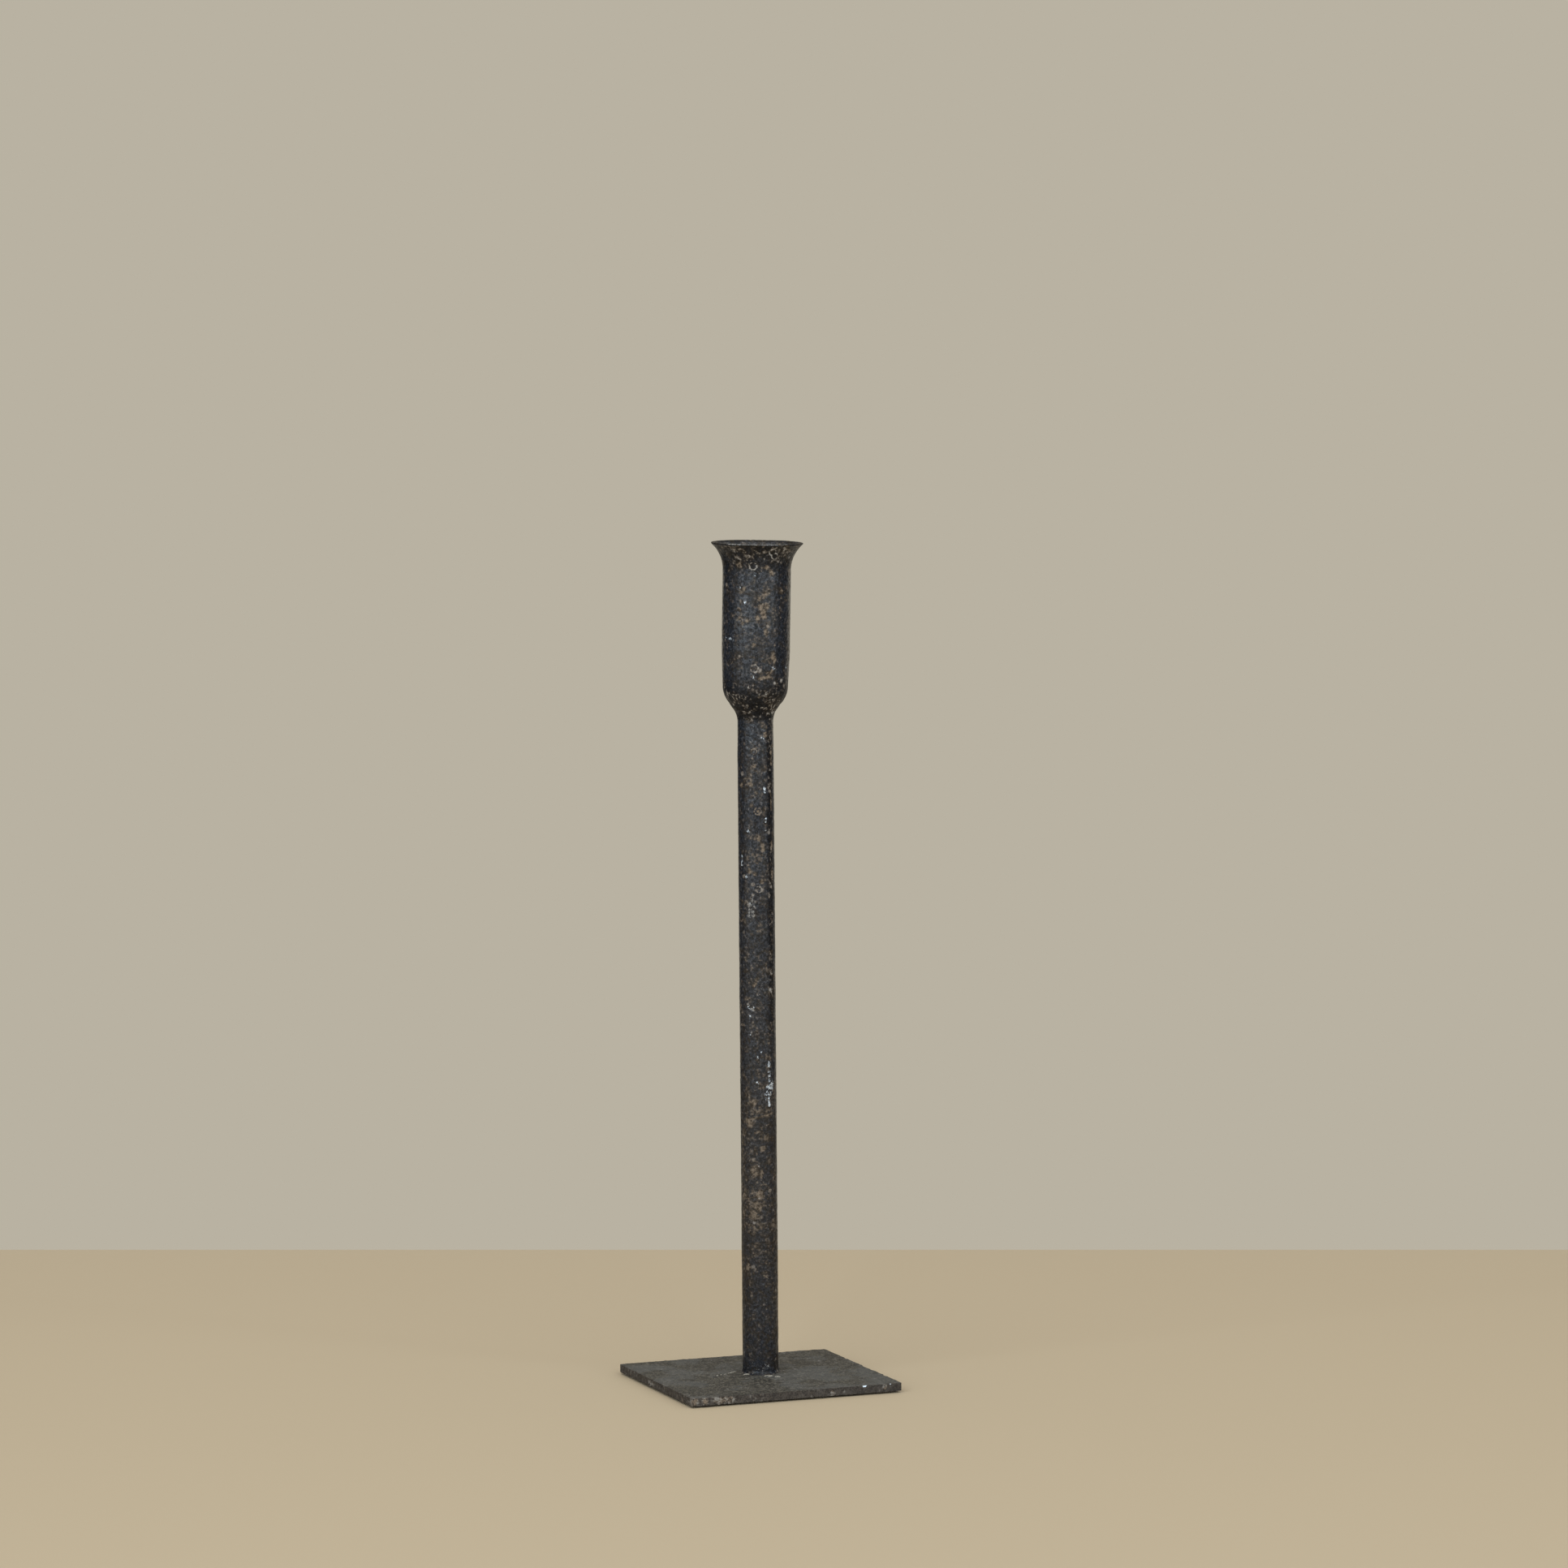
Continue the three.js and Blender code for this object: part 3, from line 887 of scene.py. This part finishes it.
class HOLDER_OT_shear_plate(bpy.types.Operator):
    """Models the sheared base plate"""
    bl_idname = "holder.shear_plate"
    bl_label = "Base plate"

    def execute(self, context):
        sizes = context.scene.holder_plate
        low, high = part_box("base_plate")
        size = high - low
        middle = (low + high) / 2
        piece = self.blank(sizes, low, size, middle)
        self.drill(piece, sizes.hole)
        self.wear(piece, sizes, low, size, middle)
        complete(piece, plate_iron(), "plate_iron", "base_plate")
        return {"FINISHED"}

    def blank(self, sizes, low, size, middle):
        """The plate with its corners cut and its sheared edges rolled over."""
        deselect()
        bpy.ops.mesh.primitive_grid_add(
            x_subdivisions=round(size.x / sizes.cell), y_subdivisions=round(size.y / sizes.cell), size=1)
        piece = bpy.context.object
        piece.name = piece.data.name = "sheared_plate"
        piece.scale = (size.x, size.y, 1)
        piece.location = (middle.x, middle.y, low.z)
        bpy.ops.object.transform_apply()
        bpy.ops.object.mode_set(mode="EDIT")
        bpy.ops.mesh.select_all(action="SELECT")
        bpy.ops.mesh.extrude_region_move(TRANSFORM_OT_translate={"value": (0, 0, size.z)})
        bpy.ops.mesh.select_all(action="SELECT")
        bpy.ops.mesh.normals_make_consistent(inside=False)
        for side_x in (-1, 1):
            for side_y in (-1, 1):
                bpy.ops.mesh.select_all(action="SELECT")
                corner = middle + Vector((side_x * size.x, side_y * size.y, 0)) / 2
                outward = Vector((side_x, side_y, 0)).normalized()
                bpy.ops.mesh.bisect(
                    plane_co=corner - outward * sizes.corner_cut / 2, plane_no=outward,
                    use_fill=True, clear_outer=True, threshold=0.001 * MM)
        half = size.z / 2
        select_where(piece, lambda edge: abs(edge.verts[0].co.z - edge.verts[1].co.z) > half, "edges")
        bpy.ops.mesh.subdivide(number_cuts=5)
        bpy.ops.mesh.select_all(action="DESELECT")
        bpy.ops.mesh.edges_select_sharp(sharpness=math.radians(60))
        bpy.ops.mesh.bevel(offset=sizes.edge_round, segments=2, clamp_overlap=True)
        bpy.ops.object.mode_set(mode="OBJECT")
        return piece

    def wear(self, piece, sizes, low, size, middle):
        """Gives the plate its rough edges, notches, spatter and scale, and stores its marks and its
        painted shade.
        """
        points = per_vertex(piece, "co")
        normals = per_vertex(piece, "normal")
        inset_x = size.x / 2 - abs(points[:, 0] - middle.x)
        inset_y = size.y / 2 - abs(points[:, 1] - middle.y)
        sloped = abs(normals[:, 2]) < 0.9
        front = np.clip(1 - (points[:, 1] - low.y) / sizes.edge_band, 0, 1)
        edge = np.clip(1 - np.minimum(inset_x, inset_y) / sizes.edge_band, 0, 1)
        edge = np.maximum(edge * np.where(sloped, 1, 0.3), front * 0.8)
        spatter = chipped(piece, PLATE_MARKS["spatter"])
        bare = chipped(piece, PLATE_MARKS["bare"])
        torn = relief_texture("shear marks", size=2.6 * MM, depth=3)
        displace(piece, torn, strength=0.5 * MM, weights=edge)
        push(piece, chipped(piece, LEFT_NOTCHES), "X", depth=0.35 * MM)
        push(piece, chipped(piece, RIGHT_NOTCHES), "X", depth=-0.35 * MM)
        push(piece, chipped(piece, FRONT_NOTCHES), "Y", depth=0.25 * MM)
        push(piece, spatter, "NORMAL", depth=0.45 * MM)
        displace(piece, relief_texture("plate waves", size=14 * MM, depth=1), strength=0.10 * MM)
        displace(piece, relief_texture("mill scale", size=2.2 * MM, depth=3), strength=0.05 * MM)
        rust = chipped(piece, PLATE_MARKS["rust"])
        # The plate's front side grows darker towards its right end
        darkening_reach = 60 * MM
        front_darkening = np.clip(points[:, 0] / darkening_reach, 0, 1) * (normals[:, 1] < -0.5)
        # Painted shade: the plate's left side is painted darker, and the pale flecks on it fainter
        left_painted_shade = np.clip(-normals[:, 0], 0, 1) * 0.4
        store(piece, edge=edge, soot=left_painted_shade + front_darkening, bare=bare, spatter=spatter, rust=rust)

    def drill(self, piece, diameter):
        """Drills the hole for the lower spigot under the foot weld."""
        low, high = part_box("foot_weld")
        plate_low, plate_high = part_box("base_plate")
        deselect()
        bpy.ops.mesh.primitive_cylinder_add(
            vertices=64, radius=diameter / 2, depth=4 * (plate_high.z - plate_low.z),
            location=((low.x + high.x) / 2, (low.y + high.y) / 2, (plate_low.z + plate_high.z) / 2))
        drill = bpy.context.object
        take(piece)
        modifier = piece.modifiers.new("drill", "BOOLEAN")
        modifier.operation = "DIFFERENCE"
        modifier.solver = "EXACT"
        modifier.object = drill
        bpy.ops.object.modifier_apply(modifier=modifier.name)
        bpy.data.objects.remove(drill)


class HOLDER_OT_stick_pads(bpy.types.Operator):
    """Models the four thin pads under the plate"""
    bl_idname = "holder.stick_pads"
    bl_label = "Pads"

    def execute(self, context):
        sizes = context.scene.holder_plate
        material = pad_rubber()
        pads = {"front_left": self.pad(sizes)}
        low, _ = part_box("pad_front_left")
        for corner in ("front_right", "back_left", "back_right"):
            take(pads["front_left"])
            bpy.ops.object.duplicate()
            pads[corner] = bpy.context.object
            put(pads[corner], Matrix.Translation(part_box(f"pad_{corner}")[0] - low))
        for corner, piece in pads.items():
            piece.name = piece.data.name = f"rubber_pad_{corner}"
            complete(piece, material, "pad_rubber", f"pad_{corner}")
        return {"FINISHED"}

    def pad(self, sizes):
        """Models the front left pad: a thin disc with rounded edges."""
        low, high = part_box("pad_front_left")
        deselect()
        bpy.ops.mesh.primitive_cylinder_add(
            vertices=64, radius=(high.x - low.x) / 2, depth=high.z - low.z, location=(low + high) / 2)
        piece = bpy.context.object
        bpy.ops.object.transform_apply()
        bpy.ops.object.mode_set(mode="EDIT")
        bpy.ops.mesh.select_all(action="DESELECT")
        bpy.ops.mesh.edges_select_sharp(sharpness=math.radians(60))
        bpy.ops.mesh.bevel(offset=sizes.pad_round, segments=4)
        select_where(piece, lambda face: abs(face.normal.z) > 0.99)
        for _ in range(2):
            bpy.ops.mesh.inset(thickness=1.2 * MM)
        bpy.ops.object.mode_set(mode="OBJECT")
        return piece


class HOLDER_OT_set_stage(bpy.types.Operator):
    """Sets the floor, the backdrop, the lights and the camera"""
    bl_idname = "holder.set_stage"
    bl_label = "Stage"

    def execute(self, context):
        stage = context.scene.holder_stage
        colours = context.scene.holder_colours
        self.floor(stage, colours)
        self.world(context.scene, stage, colours)
        self.lamp("left window", stage.left_power, colours.daylight, (2.4, 3.0),
                  turned=-34, distance=2.6, height=1.8)
        self.lamp("right window", stage.right_power, colours.daylight, (2.8, 3.0),
                  turned=38, distance=2.6, height=1.8)
        self.lamp("narrow light", stage.side_power, colours.daylight, (0.12, 1.5),
                  turned=59, distance=2.4, height=1.1)
        self.lamp("ceiling light", stage.top_power, colours.lamplight, (3.2, 3.2),
                  turned=0, distance=0.6, height=3.4)
        self.card("left card", colours.card, width=1.1, turned=-114)
        self.card("right card", colours.card, width=0.9, turned=103)
        self.camera(context.scene, stage)
        context.scene.view_settings.view_transform = "Standard"
        return {"FINISHED"}

    def sheet(self, name, shade, roughness):
        """A flat square, 1 m wide, of one plain colour."""
        deselect()
        bpy.ops.mesh.primitive_plane_add(size=1)
        sheet = bpy.context.object
        sheet.name = name
        material, place = new_surface(name)
        finish_surface(place, {"Base Color": solid(shade), "Roughness": roughness}, [])
        sheet.data.materials.append(material)
        return sheet

    def floor(self, stage, colours):
        """The floor, which ends behind the holder where the backdrop begins."""
        depth = stage.floor_size + stage.floor_depth
        floor = self.sheet("floor", colours.floor, 0.8)
        floor.location = FRONT * (depth / 2 - stage.floor_depth)
        floor.rotation_euler.z = FRONT_AZIMUTH
        floor.scale = (2 * stage.floor_size, depth, 1)

    def world(self, scene, stage, colours):
        """The backdrop that the camera and reflections see, and the even light from all round."""
        world = bpy.data.worlds.new("pale backdrop")
        scene.world = world
        world.use_nodes = True
        tree = world.node_tree
        tree.nodes.clear()
        start = Signal(tree, None)
        camera = start.node("LightPath", None, None, "Is Camera Ray")
        glossy = start.node("LightPath", None, None, "Is Glossy Ray")
        even = {"Color": (1, 1, 1, 1), "Strength": stage.world_light}
        pale = {"Color": solid(colours.backdrop), "Strength": 1.0}
        unseen = start.node("Background", None, even)
        seen = start.node("Background", None, pale)
        both = start.node("MixShader", None, {0: camera.higher(glossy), 1: unseen, 2: seen})
        start.node("OutputWorld", None, {"Surface": both})

    def stand(self, item, turned, distance, height):
        """Stands a lamp or card facing the holder. One overhead is tilted down at the holder's middle."""
        angle = math.radians(turned)
        level = FRONT * math.cos(angle) + RIGHT * math.sin(angle)
        item.location = level * distance + UP * height
        middle = UP * 0.16
        aim = item.location - middle if distance < height else level
        item.rotation_euler = aim.to_track_quat("Z", "Y").to_euler()
        item.visible_camera = False

    def lamp(self, name, power, shade, size, turned, distance, height):
        """A soft rectangular light, with its size in metres."""
        light = bpy.data.lights.new(name, "AREA")
        light.shape = "RECTANGLE"
        light.size, light.size_y = size
        light.energy = power
        light.color = shade
        lamp = bpy.data.objects.new(name, light)
        bpy.context.scene.collection.objects.link(lamp)
        self.stand(lamp, turned, distance, height)

    def card(self, name, shade, width, turned):
        """A dark card beside the holder, 1.2 m high and seen only in the holder's reflections."""
        card = self.sheet(name, shade, 0.9)
        card.scale = (width, 1.2, 1)
        self.stand(card, turned, distance=0.8, height=0.55)
        card.visible_diffuse = False
        card.visible_shadow = False

    def camera(self, scene, stage):
        """The camera, in front of the holder and looking a little down."""
        data = bpy.data.cameras.new("camera")
        camera = bpy.data.objects.new("camera", data)
        scene.collection.objects.link(camera)
        data.lens = stage.lens
        data.sensor_width = 36
        camera.location = (
            FRONT * stage.camera_distance + RIGHT * stage.camera_offset + UP * stage.camera_height)
        camera.rotation_euler = (math.pi / 2 - stage.camera_pitch, 0, FRONT_AZIMUTH)
        scene.camera = camera


OPERATORS = (
    HOLDER_OT_shear_plate,
    HOLDER_OT_stick_pads,
    HOLDER_OT_weld_foot,
    HOLDER_OT_forge_bar,
    HOLDER_OT_weld_neck,
    HOLDER_OT_form_socket,
    HOLDER_OT_set_stage,
)


class HOLDER_PT_panel(bpy.types.Panel):
    """Lists the pieces of the candle holder and their sizes"""
    bl_idname = "HOLDER_PT_panel"
    bl_label = "Candle holder"
    bl_space_type = "VIEW_3D"
    bl_region_type = "UI"
    bl_category = "Candle holder"

    def draw(self, context):
        layout = self.layout
        for operator in OPERATORS:
            layout.operator(operator.bl_idname)
        for name, group in GROUPS.items():
            box = layout.box()
            box.label(text=group.__doc__)
            for key in group.__annotations__:
                box.prop(getattr(context.scene, name), key)


CLASSES = (*GROUPS.values(), *OPERATORS, HOLDER_PT_panel)


def register():
    for made in CLASSES:
        bpy.utils.register_class(made)
    for name, group in GROUPS.items():
        setattr(bpy.types.Scene, name, bpy.props.PointerProperty(type=group))


def unregister():
    for name in GROUPS:
        delattr(bpy.types.Scene, name)
    for made in reversed(CLASSES):
        bpy.utils.unregister_class(made)


def main():
    """Makes every piece and the stage."""
    register()
    bpy.ops.holder.shear_plate()
    bpy.ops.holder.stick_pads()
    bpy.ops.holder.weld_foot()
    bpy.ops.holder.forge_bar()
    bpy.ops.holder.weld_neck()
    bpy.ops.holder.form_socket()
    bpy.ops.holder.set_stage()


if __name__ == "__main__":
    main()
